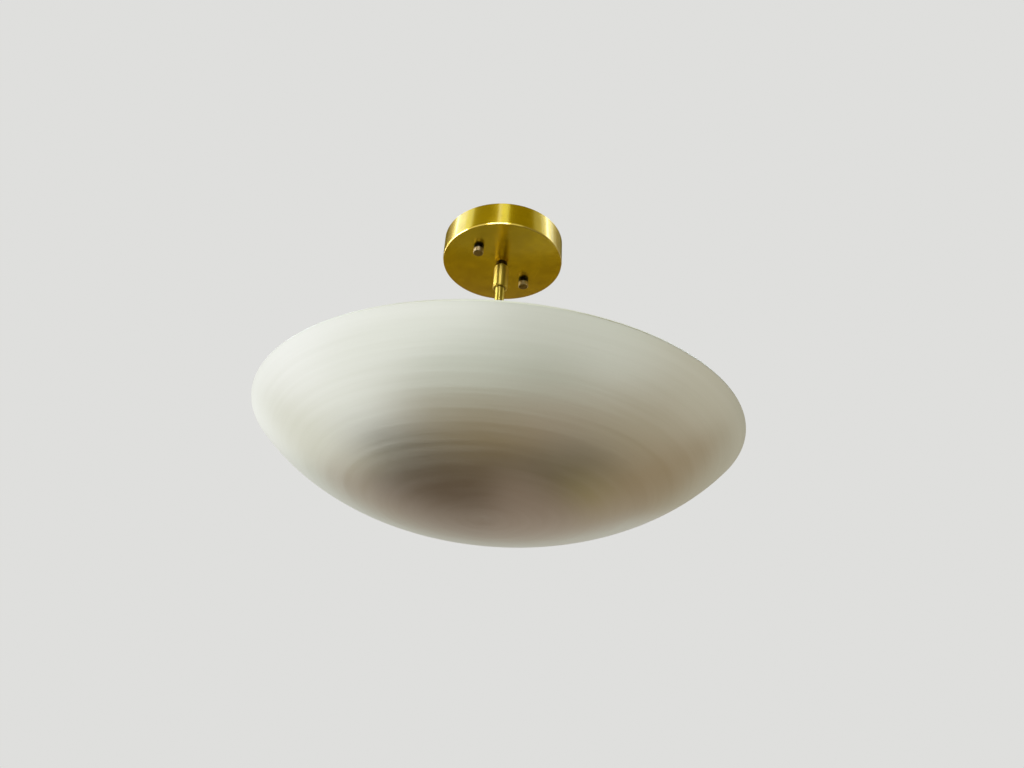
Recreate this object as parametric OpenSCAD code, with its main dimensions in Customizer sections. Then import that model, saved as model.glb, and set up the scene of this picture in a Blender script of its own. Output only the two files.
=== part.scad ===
// Semi-flush ceiling light: a shallow spun dish hung from a brass canopy by a hang-straight swivel and a rod.
// The origin is on the light's axis in the ceiling plane, +Z is up, so the whole light lies at or below zero.

/* [Canopy] */
// Diameter of the canopy
canopy_d = 127; // [120:1:180]
// Depth of the canopy below the ceiling
canopy_h = 28; // [26:0.5:45]
// Wall of the canopy
canopy_wall = 1.2; // [0.8:0.1:2]
// Chamfer between the canopy's side and its face
canopy_edge = 0.8; // [0.3:0.1:1.1]

/* [Mounting bracket] */
// Distance between the two box screws
box_spacing = 88.9; // [88:0.1:96]
// Length of each box screw slot, end to end
slot_l = 10; // [7:0.5:11]
// Width of each box screw slot
slot_w = 4.8; // [4.4:0.1:6]
// Width of the bracket
bracket_w = 20; // [16:0.5:26]
// Thickness of the bracket
bracket_t = 2; // [1.5:0.1:3]
// Length of the bracket past the middle of each slot
bracket_end = 9; // [7:0.5:10]
// Corner radius of the bracket
bracket_corner = 3; // [1:0.5:5]
// Diameter of the wire hole in the middle of the bracket
wire_hole_d = 10.4; // [8:0.1:11]
// Height of the drawn collar round the wire hole
wire_collar_h = 3; // [2:0.5:4]
// Wall of the drawn collar round the wire hole
wire_collar_wall = 1.8; // [1.2:0.1:2.5]
// Distance of the ground screw from the middle of the bracket
ground_x = 20; // [17:0.5:23]
// Diameter of the ground screw
ground_d = 4.8; // [4:0.1:5.5]

/* [Canopy studs and knobs] */
// Distance between the two canopy studs
stud_spacing = 72; // [66:0.5:73]
// Diameter of the canopy studs
stud_d = 4.2; // [3.5:0.1:4.6]
// Width across the flats of the stud locknuts
locknut_af = 8; // [7:0.1:9]
// Height of the stud locknuts
locknut_h = 3.2; // [2.5:0.1:4]
// Room round each stud in the canopy's face
stud_room = 0.3; // [0.2:0.05:0.6]
// Diameter of the knobs
knob_d = 10.6; // [8:0.1:14]
// Height of the knobs
knob_h = 8.5; // [7:0.1:12]
// Depth of the threaded hole in the knobs
knob_hole = 6; // [4:0.1:6]
// Chamfer on the knobs' edges
knob_edge = 0.5; // [0.2:0.1:0.9]

/* [Swivel] */
// Outer diameter of the threaded collar that holds the swivel in the canopy, and of every nipple
nipple_d = 9.7; // [9.4:0.1:10]
// Height of the threaded collar above the canopy's face
collar_l = 6.8; // [6.4:0.1:8]
// Diameter of the collar's flange under the canopy
flange_ring_d = 12; // [11:0.1:14]
// Thickness of the collar's flange under the canopy
flange_ring_t = 1.5; // [1:0.1:2.5]
// Diameter of the stem where it turns in the collar
stem_d = 7.4; // [7:0.1:7.8]
// Diameter of the stem's bore for the wires
stem_bore = 4.6; // [4:0.1:4.9]
// Diameter of the stem's neck above the ball
neck_d = 6.4; // [5.8:0.1:6.6]
// Height of the collar's flange above the middle of the ball
neck_l = 5.5; // [5.4:0.1:7]
// Diameter of the ball
ball_d = 12; // [11.6:0.1:12.3]
// Length of the stem above the collar
stem_tail = 4; // [3:0.1:5]
// Thickness of the stop ring on the stem
stop_t = 2; // [1.5:0.1:2.4]
// Width of the stop ring's nub
nub_w = 1.6; // [1.2:0.1:1.7]
// Width of the stop washer's tab
tab_w = 1.2; // [0.8:0.1:1.3]
// Thickness of the stop washer
washer_t = 0.8; // [0.5:0.1:1.2]
// Diameter of the sleeve
sleeve_d = 15.2; // [15:0.1:18]
// Length of the sleeve
sleeve_l = 28.6; // [27:0.1:40]
// Height of the sleeve's top above the middle of the ball
sleeve_rise = 2.6; // [2.4:0.1:2.7]
// Diameter of the sleeve's upper mouth
mouth_d = 10.7; // [10.6:0.1:11]
// Height of the chamfer round the sleeve's upper mouth
sleeve_shoulder = 2.4; // [1:0.1:2.8]
// Diameter of the sleeve's lower mouth
lower_mouth_d = 11.2; // [10.2:0.1:12.6]
// Depth of the sleeve's lower mouth
lower_mouth_l = 6; // [3:0.1:7]
// Diameter of the swivel pins
pin_d = 2.5; // [2:0.1:3]

/* [Rod] */
// Diameter of the rod
rod_d = 9.5; // [8:0.1:10]
// Diameter of the rod's bore
rod_bore = 6.8; // [5:0.1:7.4]
// Length of the rod that is screwed into the sleeve
rod_grip = 9; // [7:0.1:10]
// Length of the rod below its nut
rod_tail = 1.5; // [0.5:0.1:3]

/* [Dish] */
// Diameter of the dish over its lip
dish_d = 432; // [400:1:520]
// Depth of the dish from the top of its lip to its underside
dish_depth = 75; // [68:0.5:95]
// Distance from the ceiling to the top of the dish's lip
dish_drop = 235; // [180:1:400]
// Wall of the dish
dish_wall = 1.5; // [1:0.1:2.5]
// Diameter of the rolled lip
lip_d = 3; // [2.7:0.1:4]
// How flat the middle of the dish is: lower is flatter
dish_flat = 0.81; // [0.75:0.01:0.9]
// How fast the dish's wall leans in from the lip: higher is faster
dish_lean = 1.74; // [1.6:0.01:1.8]

/* [Lamp cluster] */
// Height of the lamps' axis above the underside of the dish
lamp_height = 56; // [54:0.5:62]
// Direction of the first lamp
lamp_turn = 90; // [0:1:359]
// Diameter of the cluster body
cluster_d = 46; // [44:0.5:50]
// Height of the cluster body
cluster_h = 31; // [28:0.5:34]
// Wall of the cluster body
cluster_wall = 2.5; // [2:0.1:3]
// Thickness of the cluster body's floor
cluster_floor_t = 4; // [3:0.1:5]
// Thickness of the cluster's cover
cover_t = 3; // [2:0.1:5]
// Diameter of the cover screws
cover_screw_d = 3; // [2.5:0.1:3.5]
// Length of the cover screws below their heads
cover_screw_l = 10; // [7:0.5:12]
// Depth of the flat that each arm's nut bears on
arm_flat = 1; // [0.8:0.1:1.2]
// Width across the flats of the nipples' nuts
nut_af = 14.3; // [13.5:0.1:15]
// Height of the nipples' nuts
nut_h = 3; // [2:0.1:3.5]

/* [Lampholders] */
// Distance from the light's axis to each lampholder's hub
holder_start = 30; // [29:0.5:36]
// Diameter of the lampholder's hub
hub_d = 17; // [15:0.5:20]
// Length of the lampholder's hub
hub_l = 9; // [7:0.5:12]
// Diameter of the lampholder
holder_d = 35; // [34:0.5:40]
// Length of the lampholder past its hub
holder_l = 44; // [43:0.5:50]
// Thickness of the lampholder's floor
holder_floor = 11; // [9:0.5:12]
// Inner diameter of the screw shell
shell_d = 26.7; // [26.5:0.1:27.2]
// Wall of the screw shell
shell_wall = 0.5; // [0.4:0.1:0.8]
// Depth of the screw shell below the lampholder's front
shell_inset = 2; // [1:0.5:4]
// Depth of the narrow space behind the screw shell
contact_room = 8; // [6:0.5:10]

/* [Bulbs] */
// Diameter of the bulbs
bulb_d = 48; // [44:1:52]
// Length of the glass past the lampholder
bulb_l = 64; // [58:1:70]
// Diameter of the glass in its base
bulb_neck_d = 25.4; // [24.5:0.1:25.5]
// Wall of the glass
glass_wall = 1; // [0.6:0.1:1.5]
// Wall of the bulb's metal base
base_wall = 0.4; // [0.3:0.1:0.5]

/* [Dish fixing] */
// Diameter of the flange that holds the dish
dish_flange_d = 44; // [42:0.5:50]
// Thickness of the flange that holds the dish
dish_flange_t = 2.5; // [2:0.1:4]
// Diameter of the flange's boss
boss_d = 18; // [15:0.5:20]
// Height of the flange's boss
boss_h = 8; // [6:0.5:10]
// Diameter of the circle of the studs welded in the dish
dish_stud_circle = 32; // [30:0.5:34]
// Diameter of the studs welded in the dish
dish_stud_d = 4; // [3:0.1:4.5]
// Depth of the weld under each stud
weld_depth = 0.4; // [0.2:0.1:0.6]

/* [Fits] */
// Room round a screw thread in its tapped hole
thread_gap = 0.05; // [0.02:0.01:0.09]
// Running clearance round the stem, the pins and the bulbs' bases
running_gap = 0.05; // [0.02:0.01:0.09]
// Room between the ball and the sleeve
ball_room = 0.3; // [0.3:0.05:0.5]
// Gap under a piece that turns on a flat face
face_gap = 0.1; // [0.05:0.05:0.2]

/* [Hidden] */
$fn = 96;
past = 1;          // how far a cut runs past the solid it cuts
steps = 30;        // points along the dish's curve
lamps = 3;

// Heights of the canopy and the swivel
face_z = -canopy_h;
face_in_z = face_z + canopy_wall;
collar_bottom = face_z - flange_ring_t;
collar_top = face_in_z + collar_l;
stem_top = collar_top + stem_tail;
ball_z = collar_bottom - neck_l;
sleeve_top = ball_z + sleeve_rise;
sleeve_bottom = sleeve_top - sleeve_l;
rod_top = sleeve_bottom + lower_mouth_l + rod_grip;
stud_bottom = face_z - knob_hole + 0.5;
collar_room = 0.2;                                   // room round the collar in the canopy's face
nut_corner = nut_af / 2 / cos(30);
tab_in = nut_corner + 0.35;                          // inner face of the stop washer's tab, clear of the nut
tab_out = tab_in + washer_t;

// The dish's curve
rim_z = -dish_drop - lip_d / 2;
rim_r = dish_d / 2 - (lip_d - dish_wall) / 2;
curve_h = dish_depth - lip_d / 2;
pole_z = -dish_drop - dish_depth;
function curve(t) = [rim_r * pow(sin(t), dish_flat), rim_z - curve_h * pow(cos(t), dish_lean)];
function lean(t) = let (a = curve(max(t - 0.5, 0)), b = curve(min(t + 0.5, 90))) (b - a) / norm(b - a);
function inner(t) = curve(t) + dish_wall * [-lean(t)[1], lean(t)[0]];
function floor_z(r) = rim_z - curve_h * pow(cos(asin(pow(r / rim_r, 1 / dish_flat))), dish_lean) + dish_wall;

// Heights of the cluster and the dish's fixing
lamp_z = pole_z + lamp_height;
cluster_top = lamp_z + cluster_h / 2;
cluster_bottom = lamp_z - cluster_h / 2;
cover_top = cluster_top + cover_t;
rod_bottom = cluster_top - nut_h - rod_tail;
flange_bottom = floor_z(dish_flange_d / 2) + 0.05;
flange_top = flange_bottom + dish_flange_t;
boss_top = flange_top + boss_h;
nipple_top = cluster_bottom + cluster_floor_t + 1.5;
nipple_bottom = flange_bottom + 1;
boss_r = cover_screw_d / 2 + 1.8;                    // screw bosses inside the cluster body
cover_screw_r = cluster_d / 2 - cluster_wall - boss_r + 1;

// Distances along each lamp's axis from the light's axis
flat_r = cluster_d / 2 - arm_flat;
arm_start = cluster_d / 2 - cluster_wall - 2;
arm_end = holder_start + hub_l - 2;
holder_back = holder_start + hub_l;
holder_front = holder_back + holder_l;
well_floor = holder_back + holder_floor;
shell_start = well_floor + contact_room;
shell_end = holder_front - shell_inset;
contact_h = 2.2;
base_tip = well_floor + contact_h + face_gap;
base_shoulder = shell_start - 2;
base_end = shell_end + 1;
neck_start = base_end - 8;
glass_start = holder_front + 1;
bulb_tip = holder_front + bulb_l;
bulb_mid = bulb_tip - bulb_d / 2;

brass = "#a8801f";
bright_brass = "#c9a22c";
dark_brass = "#6f5624";
zinc = "#b9bcbf";
satin_aluminium = "#dcdccf";

module turned(profile) {
    rotate_extrude() polygon(profile);
}

module tube(outer, bore, low, high) {
    difference() {
        translate([0, 0, low]) cylinder(d = outer, h = high - low);
        translate([0, 0, low - past]) cylinder(d = bore, h = high - low + 2 * past);
    }
}

module hex_nut(af, hole, low, high) {
    difference() {
        translate([0, 0, low]) cylinder(d = af / cos(30), h = high - low, $fn = 6);
        translate([0, 0, low - past]) cylinder(d = hole, h = high - low + 2 * past);
    }
}

module round_bar(length, width, corner, thick) {
    linear_extrude(thick) {
        square([length, width - 2 * corner], center = true);
        square([length - 2 * corner, width], center = true);
        for (x = [-1, 1], y = [-1, 1])
            translate([x * (length / 2 - corner), y * (width / 2 - corner)]) circle(corner);
    }
}

module both_studs() {
    for (side = [-1, 1]) translate([side * stud_spacing / 2, 0, 0]) children();
}

module each_lamp() {
    for (i = [1:lamps]) at_lamp(i) children();
}

// Puts a piece drawn along +Z on lamp i's axis, pointing away from the light's axis
module at_lamp(i) {
    translate([0, 0, lamp_z]) rotate([0, 0, lamp_turn + (i - 1) * 360 / lamps]) rotate([0, 90, 0]) children();
}

// Puts a piece on each of the three lines between the lamps
module between_lamps(r) {
    for (i = [1:lamps]) rotate([0, 0, lamp_turn + (i - 0.5) * 360 / lamps]) translate([r, 0, 0]) children();
}

module mounting_bracket() {
    color(zinc) difference() {
        union() {
            translate([0, 0, -bracket_t])
                round_bar(box_spacing + 2 * bracket_end, bracket_w, bracket_corner, bracket_t);
            translate([0, 0, -bracket_t - wire_collar_h])
                cylinder(d = wire_hole_d + 2 * wire_collar_wall, h = wire_collar_h + bracket_t);
        }
        translate([0, 0, -bracket_t - wire_collar_h - past])
            cylinder(d = wire_hole_d, h = wire_collar_h + bracket_t + 2 * past);
        for (side = [-1, 1]) translate([side * box_spacing / 2, 0, -bracket_t - past])
            round_bar(slot_l, slot_w, slot_w / 2 - 0.01, bracket_t + 2 * past);
        both_studs() translate([0, 0, -bracket_t - past])
            cylinder(d = stud_d + 2 * thread_gap, h = bracket_t + 2 * past);
        translate([-ground_x, 0, -bracket_t - past])
            cylinder(d = ground_d + 2 * thread_gap, h = bracket_t + 2 * past);
    }
}

module ground_screw() {
    head_af = ground_d * 1.6;
    head_h = ground_d * 0.65;
    washer_h = 0.8;
    color("seagreen") translate([-ground_x, 0, -bracket_t]) difference() {
        union() {
            cylinder(d = ground_d, h = bracket_t);
            translate([0, 0, -washer_h]) cylinder(d = ground_d * 2, h = washer_h);
            translate([0, 0, -washer_h - head_h]) cylinder(d = head_af / cos(30), h = head_h, $fn = 6);
        }
        translate([-head_af, -0.6, -washer_h - head_h - past]) cube([2 * head_af, 1.2, past + 1.2]);
    }
}

module canopy_studs() {
    color(zinc) both_studs() translate([0, 0, stud_bottom]) cylinder(d = stud_d, h = -stud_bottom);
}

module stud_locknuts() {
    color(zinc) both_studs()
        hex_nut(locknut_af, stud_d + 2 * thread_gap, -bracket_t - locknut_h, -bracket_t);
}

module canopy() {
    r = canopy_d / 2;
    color(brass) difference() {
        turned([
            [0, face_z],
            [r - canopy_edge, face_z],
            [r, face_z + canopy_edge],
            [r, 0],
            [r - canopy_wall, 0],
            [r - canopy_wall, face_in_z],
            [0, face_in_z]
        ]);
        translate([0, 0, face_z - past]) cylinder(d = nipple_d + 2 * collar_room, h = canopy_wall + 2 * past);
        both_studs() translate([0, 0, face_z - past])
            cylinder(d = stud_d + 2 * stud_room, h = canopy_wall + 2 * past);
    }
}

module knob(side) {
    r = knob_d / 2;
    top = face_z - face_gap;
    bottom = top - knob_h;
    color(dark_brass) translate([side * stud_spacing / 2, 0, 0]) difference() {
        turned([
            [0, bottom],
            [r - knob_edge, bottom],
            [r, bottom + knob_edge],
            [r, top - knob_edge / 2],
            [r - knob_edge / 2, top],
            [0, top]
        ]);
        translate([0, 0, top - knob_hole]) cylinder(d = stud_d + 2 * thread_gap, h = knob_hole + past);
    }
}

module swivel_collar() {
    color(bright_brass) difference() {
        union() {
            translate([0, 0, collar_bottom]) cylinder(d = flange_ring_d, h = flange_ring_t);
            translate([0, 0, collar_bottom]) cylinder(d = nipple_d, h = collar_top - collar_bottom);
        }
        translate([0, 0, collar_bottom - past])
            cylinder(d = stem_d + 2 * running_gap, h = collar_top - collar_bottom + 2 * past);
    }
}

module collar_nut() {
    color(zinc) hex_nut(nut_af, nipple_d + 2 * thread_gap, face_in_z + washer_t, face_in_z + washer_t + nut_h);
}

// Flat washer with a tab turned up at its edge, which the stop ring's nub meets before a full turn
module stop_washer() {
    color(zinc) {
        tube(2 * tab_out, nipple_d + 2 * collar_room, face_in_z, face_in_z + washer_t);
        translate([-tab_w / 2, tab_in, face_in_z])
            cube([tab_w, washer_t * 0.9, stem_top - 1.6 - face_in_z]);
    }
}

module stop_ring() {
    low = collar_top + face_gap;
    color(zinc) difference() {
        union() {
            translate([0, 0, low]) cylinder(d = stem_d + 3.8, h = stop_t);
            translate([-nub_w / 2, -tab_out + 0.1, low]) cube([nub_w, tab_out - stem_d / 2 - 0.5, stop_t]);
        }
        translate([0, 0, low - past]) cylinder(d = stem_d + 0.04, h = stop_t + 2 * past);
    }
}

// Hollow ball stud that turns in the collar; the ball has a blind socket on each side for the sleeve's pins
module swivel_stem() {
    socket_floor = stem_bore / 2 + 1.2;
    color(bright_brass) difference() {
        union() {
            translate([0, 0, collar_bottom - 0.3]) cylinder(d = stem_d, h = stem_top - collar_bottom + 0.3);
            translate([0, 0, ball_z]) cylinder(d = neck_d, h = neck_l);
            translate([0, 0, ball_z]) sphere(d = ball_d);
        }
        translate([0, 0, ball_z - ball_d]) cylinder(d = stem_bore, h = stem_top - ball_z + 2 * ball_d);
        for (side = [-1, 1]) translate([side * socket_floor, 0, ball_z]) rotate([0, side * 90, 0])
            cylinder(d = pin_d + 2 * running_gap, h = ball_d);
    }
}

// The sleeve's cavity is a ball seat rolled in at the top, so the ball cannot come out of the mouth
module swivel_sleeve() {
    cavity = ball_d / 2 + ball_room;
    well = cavity + 1;
    land = mouth_d / 2 + 0.5;
    r = sleeve_d / 2;
    color(bright_brass) difference() {
        turned([
            [0, sleeve_bottom],
            [r - 0.6, sleeve_bottom],
            [r, sleeve_bottom + 0.6],
            [r, sleeve_top - sleeve_shoulder],
            [(r + land) / 2 + 0.35, sleeve_top - sleeve_shoulder * 0.35],
            [land, sleeve_top],
            [0, sleeve_top]
        ]);
        translate([0, 0, ball_z]) cylinder(d = mouth_d, h = sleeve_rise + past);
        translate([0, 0, ball_z]) sphere(cavity);
        translate([0, 0, ball_z - well]) cylinder(r = cavity, h = well);
        translate([0, 0, sleeve_bottom - past])
            cylinder(d = rod_d + 2 * thread_gap, h = ball_z - well - sleeve_bottom + 2 * past);
        translate([0, 0, sleeve_bottom - past]) cylinder(d = lower_mouth_d, h = lower_mouth_l + past);
        translate([-r - past, 0, ball_z]) rotate([0, 90, 0]) cylinder(d = pin_d, h = 2 * (r + past));
    }
}

module swivel_pins() {
    tip = stem_bore / 2 + 1.5;
    color(bright_brass) for (side = [-1, 1]) translate([side * tip, 0, ball_z]) rotate([0, side * 90, 0])
        cylinder(d = pin_d, h = sleeve_d / 2 - 0.15 - tip);
}

module rod() {
    color(bright_brass) tube(rod_d, rod_bore, rod_bottom, rod_top);
}

module rod_nut() {
    color(zinc) hex_nut(nut_af, rod_d + 2 * thread_gap, cluster_top - nut_h, cluster_top);
}

module cluster_cover() {
    edge = 0.8;
    r = cluster_d / 2;
    color(brass) difference() {
        turned([
            [0, cluster_top],
            [r, cluster_top],
            [r, cover_top - edge],
            [r - edge, cover_top],
            [0, cover_top]
        ]);
        translate([0, 0, cluster_top - past]) cylinder(d = rod_d + 2 * thread_gap, h = cover_t + 2 * past);
        between_lamps(cover_screw_r) translate([0, 0, cluster_top - past])
            cylinder(d = cover_screw_d + 0.4, h = cover_t + 2 * past);
    }
}

module cover_screws() {
    head_h = cover_screw_d * 0.6;
    color(zinc) between_lamps(cover_screw_r) translate([0, 0, cover_top]) difference() {
        union() {
            translate([0, 0, -cover_screw_l]) cylinder(d = cover_screw_d, h = cover_screw_l);
            cylinder(d = cover_screw_d * 1.85, h = head_h);
        }
        translate([-cover_screw_d, -0.4, head_h * 0.5]) cube([2 * cover_screw_d, 0.8, head_h]);
    }
}

module cluster_body() {
    r = cluster_d / 2;
    boss_l = cover_screw_l;
    color(brass) difference() {
        union() {
            difference() {
                translate([0, 0, cluster_bottom]) cylinder(r = r, h = cluster_h);
                translate([0, 0, cluster_bottom + cluster_floor_t]) cylinder(r = r - cluster_wall, h = cluster_h);
            }
            between_lamps(cover_screw_r) translate([0, 0, cluster_top - boss_l]) cylinder(r = boss_r, h = boss_l);
        }
        between_lamps(cover_screw_r) translate([0, 0, cluster_top - boss_l + 2])
            cylinder(d = cover_screw_d + 2 * thread_gap, h = boss_l);
        translate([0, 0, cluster_bottom - past])
            cylinder(d = nipple_d + 2 * thread_gap, h = cluster_floor_t + 2 * past);
        each_lamp() {
            translate([0, 0, flat_r]) cylinder(d = nut_af / cos(30) + 2, h = arm_flat + past);
            cylinder(d = nipple_d + 2 * thread_gap, h = r);
        }
    }
}

module arm_nuts() {
    color(zinc) each_lamp() rotate([0, 0, 30]) hex_nut(nut_af, nipple_d + 2 * thread_gap, flat_r, flat_r + nut_h);
}

module lamp_arm(i) {
    color(brass) at_lamp(i) tube(nipple_d, rod_bore, arm_start, arm_end);
}

module lampholder(i) {
    well_r = shell_d / 2 + shell_wall + 0.02;
    color("ivory") at_lamp(i) difference() {
        turned([
            [0, holder_start],
            [hub_d / 2, holder_start],
            [hub_d / 2, holder_back - 2],
            [holder_d / 2 - 3, holder_back],
            [holder_d / 2, holder_back + 3],
            [holder_d / 2, holder_front - 0.8],
            [holder_d / 2 - 0.8, holder_front],
            [0, holder_front]
        ]);
        translate([0, 0, holder_start - past]) cylinder(d = nipple_d + 2 * thread_gap, h = hub_l - 2 + past);
        translate([0, 0, holder_start]) cylinder(d = 6, h = well_floor - holder_start + past);
        translate([0, 0, well_floor]) cylinder(r = well_r - 2.5, h = holder_front - well_floor + past);
        translate([0, 0, shell_start]) cylinder(r = well_r, h = holder_front - shell_start + past);
    }
}

// Threaded shell of the lampholder, with a flange turned in at its inner end
module screw_shell(i) {
    r = shell_d / 2;
    color(bright_brass) at_lamp(i) turned([
        [r - 1.2, shell_start],
        [r + shell_wall, shell_start],
        [r + shell_wall, shell_end],
        [r, shell_end],
        [r, shell_start + shell_wall],
        [r - 1.2, shell_start + shell_wall]
    ]);
}

module contact(i) {
    color(bright_brass) at_lamp(i) {
        translate([0, 0, well_floor]) cylinder(d = 9, h = contact_h / 2);
        translate([0, 0, well_floor]) cylinder(d = 6, h = contact_h);
    }
}

module bulb_base(i) {
    r = shell_d / 2 - running_gap;
    tip_r = 4.5;
    color(zinc) at_lamp(i) turned([
        [0, base_tip],
        [tip_r, base_tip],
        [tip_r, base_tip + 1],
        [r - 2.5, base_shoulder],
        [r - 2.5, shell_start + shell_wall + 0.3],
        [r, shell_start + shell_wall + 1.2],
        [r, base_end],
        [r - base_wall, base_end],
        [r - base_wall, shell_start + shell_wall + 2],
        [0, shell_start + shell_wall + 2]
    ]);
}

// Radius of the bulb at a distance s from the light's axis: a straight neck, an easy flare, then a ball
function bulb_r(s) =
    s < glass_start ? bulb_neck_d / 2
    : s < bulb_mid ? bulb_neck_d / 2
        + (bulb_d - bulb_neck_d) / 4 * (1 - cos(180 * (s - glass_start) / (bulb_mid - glass_start)))
    : sqrt(max(0, pow(bulb_d / 2, 2) - pow(s - bulb_mid, 2)));

module bulb_glass(i) {
    flare = [for (k = [0:10]) glass_start + (bulb_mid - glass_start) * k / 10];
    ball_r = bulb_d / 2;
    in_r = ball_r - glass_wall;
    color("white") at_lamp(i) turned(concat(
        [[bulb_neck_d / 2, neck_start]],
        [for (s = flare) [bulb_r(s), s]],
        [for (a = [9:9:81]) [ball_r * cos(a), bulb_mid + ball_r * sin(a)]],
        [[0, bulb_tip], [0, bulb_tip - glass_wall]],
        [for (a = [81:-9:9]) [in_r * cos(a), bulb_mid + in_r * sin(a)]],
        [for (k = [10:-1:0]) [bulb_r(flare[k]) - glass_wall, flare[k]]],
        [[bulb_neck_d / 2 - glass_wall, neck_start]]
    ));
}

module dish_nipple() {
    color(brass) tube(nipple_d, rod_bore, nipple_bottom, nipple_top);
}

module nipple_nuts() {
    hole = nipple_d + 2 * thread_gap;
    color(zinc) {
        hex_nut(nut_af, hole, cluster_bottom - nut_h, cluster_bottom);
        hex_nut(nut_af, hole, boss_top, boss_top + nut_h);
    }
}

module dish_flange() {
    color(zinc) difference() {
        union() {
            translate([0, 0, flange_bottom]) cylinder(d = dish_flange_d, h = dish_flange_t);
            translate([0, 0, flange_bottom]) cylinder(d = boss_d, h = boss_top - flange_bottom);
        }
        translate([0, 0, flange_bottom - past])
            cylinder(d = nipple_d + 2 * thread_gap, h = boss_top - flange_bottom + 2 * past);
        between_lamps(dish_stud_circle / 2) translate([0, 0, flange_bottom - past])
            cylinder(d = dish_stud_d + 0.5, h = dish_flange_t + 2 * past);
    }
}

module dish_studs() {
    low = floor_z(dish_stud_circle / 2) - weld_depth;
    color(zinc) between_lamps(dish_stud_circle / 2) translate([0, 0, low])
        cylinder(d = dish_stud_d, h = flange_top + dish_stud_d + 1 - low);
}

module flange_nuts() {
    color(zinc) between_lamps(dish_stud_circle / 2)
        hex_nut(dish_stud_d * 1.75, dish_stud_d + 2 * thread_gap, flange_top, flange_top + dish_stud_d * 0.8);
}

module dish() {
    color(satin_aluminium) difference() {
        rotate_extrude() {
            polygon(concat(
                [for (k = [0:steps]) curve(90 * k / steps)],
                [[rim_r - dish_wall, rim_z]],
                [for (k = [steps - 1:-1:1]) inner(90 * k / steps)],
                [[0, pole_z + dish_wall]]
            ));
            translate([rim_r - dish_wall / 2, rim_z]) circle(d = lip_d);
        }
        between_lamps(dish_stud_circle / 2) translate([0, 0, floor_z(dish_stud_circle / 2) - weld_depth])
            cylinder(d = dish_stud_d, h = dish_wall);
    }
}

mounting_bracket();
ground_screw();
canopy_studs();
stud_locknuts();
canopy();
swivel_collar();
collar_nut();
stop_washer();
stop_ring();
swivel_stem();
knob(-1);  // knob_left
knob(1);  // knob_right
swivel_sleeve();
swivel_pins();
rod();
rod_nut();
cluster_cover();
cover_screws();
cluster_body();
arm_nuts();
lamp_arm(1);  // lamp_arm_1
lamp_arm(2);  // lamp_arm_2
lamp_arm(3);  // lamp_arm_3
lampholder(1);  // lampholder_1
lampholder(2);  // lampholder_2
lampholder(3);  // lampholder_3
screw_shell(1);  // screw_shell_1
screw_shell(2);  // screw_shell_2
screw_shell(3);  // screw_shell_3
contact(1);  // contact_1
contact(2);  // contact_2
contact(3);  // contact_3
bulb_base(1);  // bulb_base_1
bulb_base(2);  // bulb_base_2
bulb_base(3);  // bulb_base_3
bulb_glass(1);  // bulb_glass_1
bulb_glass(2);  // bulb_glass_2
bulb_glass(3);  // bulb_glass_3
dish_nipple();
nipple_nuts();
dish_flange();
dish_studs();
flange_nuts();
dish();
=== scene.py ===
import bpy
import numpy as np
from mathutils import Matrix


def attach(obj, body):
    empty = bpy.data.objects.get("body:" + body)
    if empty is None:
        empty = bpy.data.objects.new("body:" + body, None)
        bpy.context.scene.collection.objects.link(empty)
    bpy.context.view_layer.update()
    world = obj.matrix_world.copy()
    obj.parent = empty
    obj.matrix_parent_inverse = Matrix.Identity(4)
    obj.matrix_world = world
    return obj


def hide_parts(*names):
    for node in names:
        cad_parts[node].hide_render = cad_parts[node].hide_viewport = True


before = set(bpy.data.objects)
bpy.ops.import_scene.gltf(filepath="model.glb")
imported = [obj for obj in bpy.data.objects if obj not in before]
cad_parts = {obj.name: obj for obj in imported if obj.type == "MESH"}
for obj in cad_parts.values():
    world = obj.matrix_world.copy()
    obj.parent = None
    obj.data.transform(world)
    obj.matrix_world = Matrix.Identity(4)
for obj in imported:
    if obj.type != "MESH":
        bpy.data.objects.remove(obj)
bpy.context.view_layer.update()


# Mounting bracket: a flat bar pressed from 2 mm steel and zinc plated, with a drawn and tapped collar for
# the wires. Two screws through its slots hold it to the ceiling box. It stays the exact solid, with a zinc
# finish: a bluish grey plate, clouded where the bath has run, and scratched by handling.
def add(material, kind, inputs=None, **options):
    """Adds one shader node: inputs are values or other nodes' sockets, options the node's own settings."""
    node = material.node_tree.nodes.new(kind)
    for name, value in options.items():
        setattr(node, name, value)
    for name, value in (inputs or {}).items():
        if isinstance(value, bpy.types.NodeSocket):
            material.node_tree.links.new(value, node.inputs[name])
        else:
            node.inputs[name].default_value = value
    return node


def bare(name, metallic, **sockets):
    """An empty material with its shader: constant values go on the shader's own sockets."""
    material = bpy.data.materials.new(name)
    material.use_nodes = True
    shader = material.node_tree.nodes["Principled BSDF"]
    shader.inputs["Metallic"].default_value = metallic
    for socket, value in sockets.items():
        shader.inputs[socket.replace("_", " ")].default_value = value
    return material, shader


def spread(material, factor, low, high):
    """A number that goes from low to high as factor goes from 0.3 to 0.7, the range that noise covers."""
    return add(material, "ShaderNodeMapRange", {"Value": factor, "From Min": 0.3, "From Max": 0.7,
                                                "To Min": low, "To Max": high}).outputs["Result"]


def between(material, factor, low, high):
    """A colour that goes from low to high as factor goes from 0.3 to 0.7."""
    ramp = add(material, "ShaderNodeValToRGB", {"Fac": spread(material, factor, 0, 1)})
    ramp.color_ramp.elements[0].color = (*low, 1)
    ramp.color_ramp.elements[1].color = (*high, 1)
    return ramp.outputs["Color"]


def place_on(material):
    """Where a point lies, in metres, in the piece's own frame."""
    return add(material, "ShaderNodeTexCoord").outputs["Object"]


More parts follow.
